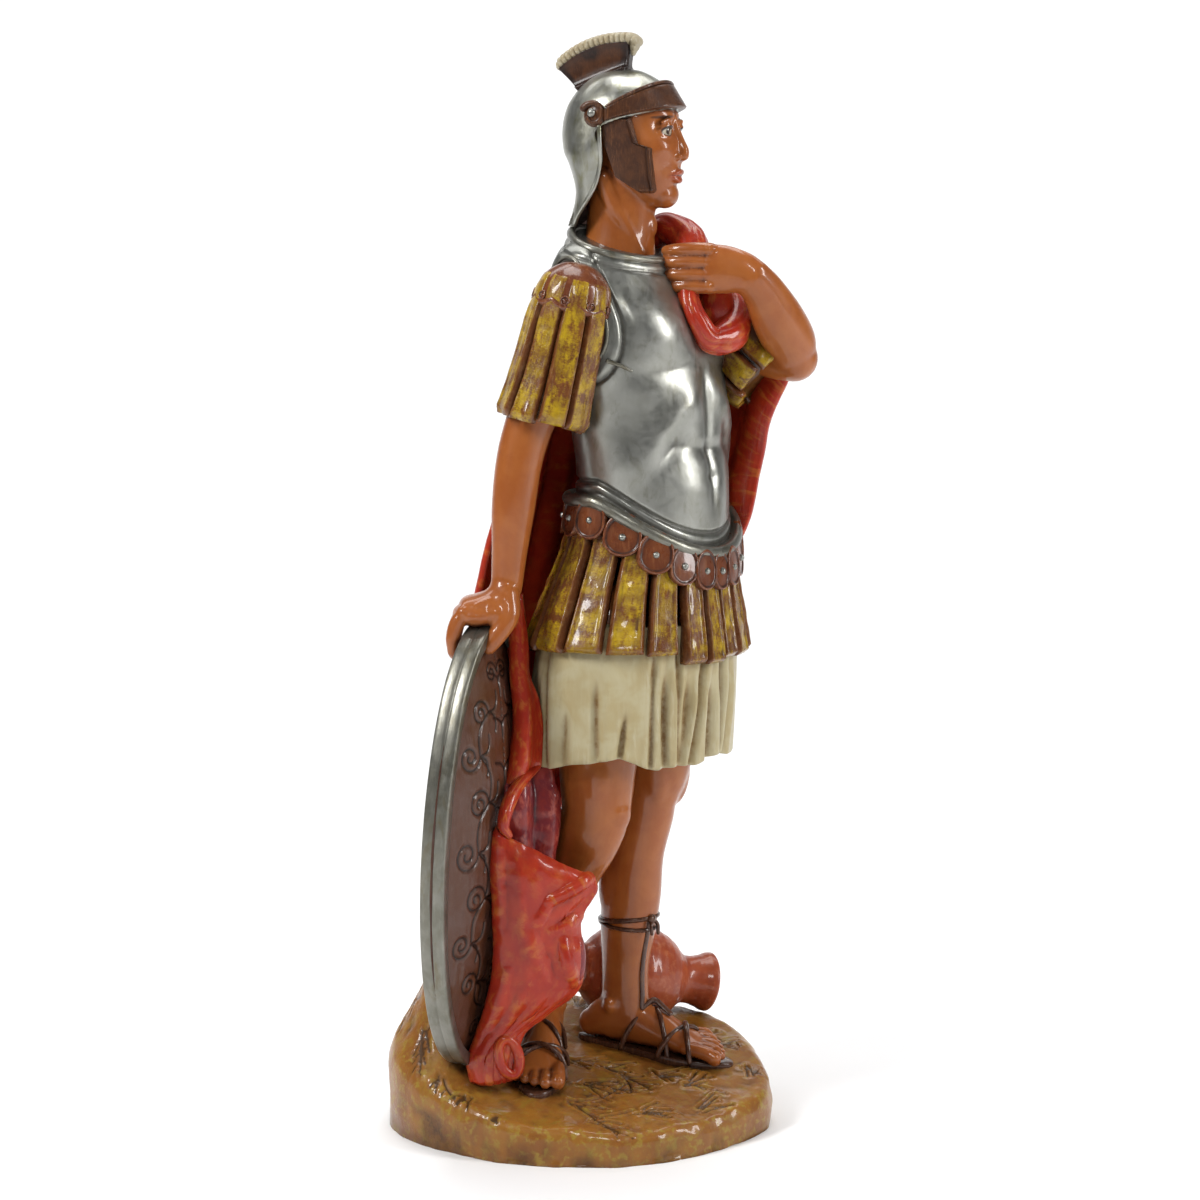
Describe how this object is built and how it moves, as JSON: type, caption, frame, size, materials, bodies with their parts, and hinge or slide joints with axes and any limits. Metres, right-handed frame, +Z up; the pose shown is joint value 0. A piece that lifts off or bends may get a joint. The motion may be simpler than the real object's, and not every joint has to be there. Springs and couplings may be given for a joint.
{
  "type": "roman soldier statue",
  "caption": "Moulded and painted figure of a Roman soldier leaning on an oval shield, with cloak, jug and ground base in one piece.",
  "frame": {"origin": "centre of the base's underside, under the figure", "axes": "+Z up, -Y the way the chest faces, +X the soldier's left"},
  "size_m": [0.1188, 0.1021, 0.3003],
  "materials": {
    "painted_casting": "hand painted with a dark antique wash under a gloss varnish"
  },
  "bodies": {
    "root": {"roman_soldier": "painted_casting"}
  },
  "joints": []
}
